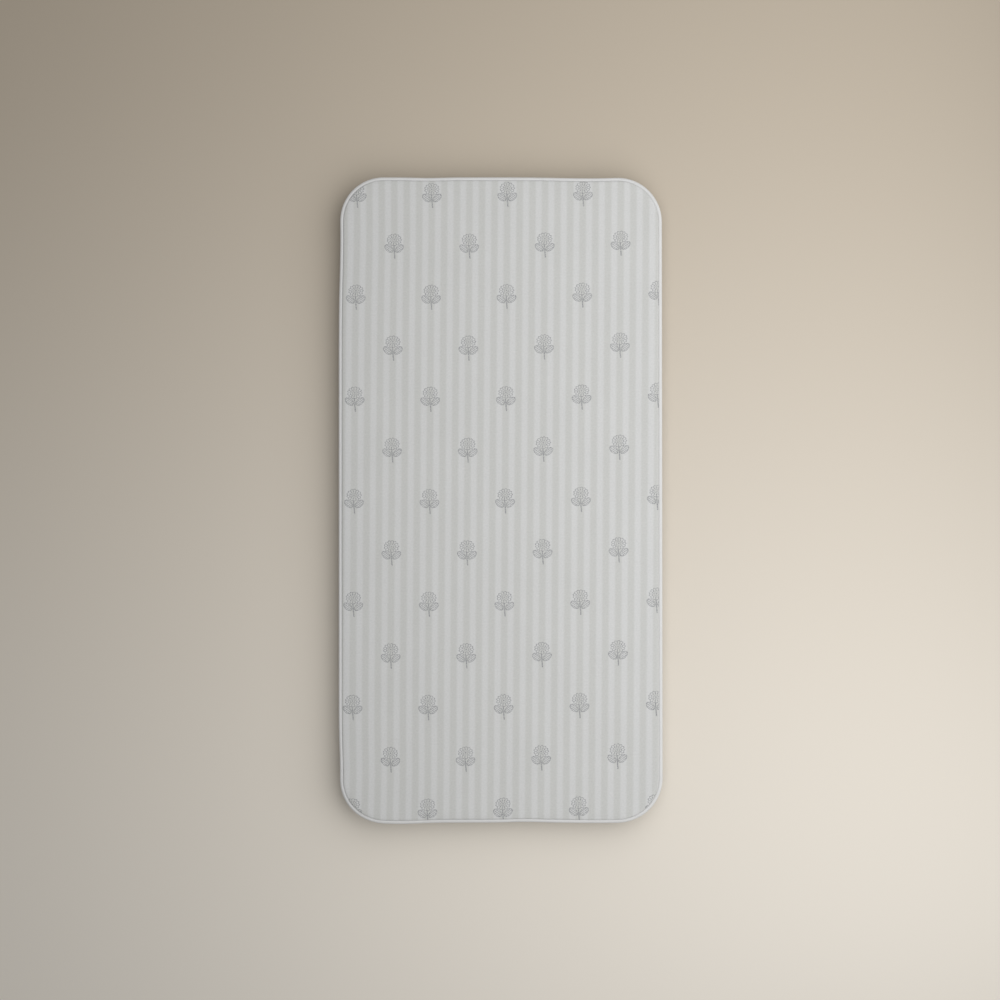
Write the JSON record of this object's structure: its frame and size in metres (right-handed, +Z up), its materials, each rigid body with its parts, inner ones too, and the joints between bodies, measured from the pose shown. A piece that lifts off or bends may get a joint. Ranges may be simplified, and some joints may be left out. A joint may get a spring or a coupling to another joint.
{
  "type": "ironing board cover",
  "caption": "Fitted padded cover for a rectangular ironing board: printed cotton top over foam and felt, piped edge, and a skirt that turns under into a gathered, elasticated hem.",
  "frame": {"origin": "centre of the cover's outline, at the level of the floor under its gathered hem", "axes": "+X across the cover, +Y along it towards the head end, +Z up out of the ironing surface"},
  "size_m": [0.45, 0.9, 0.0348],
  "materials": {
    "printed_cotton": "woven cotton, pale ticking stripes with small grey sprigs",
    "skirt_cotton": "woven cotton, pale ticking stripes with small grey sprigs",
    "foam": "soft open-cell foam",
    "felt": "needled felt",
    "white_tape": "bias-cut cotton tape",
    "cotton_cord": "soft twisted cord",
    "elastic": "flat woven elastic"
  },
  "bodies": {
    "root": {"top_cloth": "printed_cotton", "foam_pad": "foam", "felt_pad": "felt", "piping_tape": "white_tape", "piping_cord": "cotton_cord", "skirt_side_right": "skirt_cotton", "skirt_side_left": "skirt_cotton", "skirt_end_head": "skirt_cotton", "skirt_end_foot": "skirt_cotton", "hem_elastic": "elastic"}
  },
  "joints": []
}
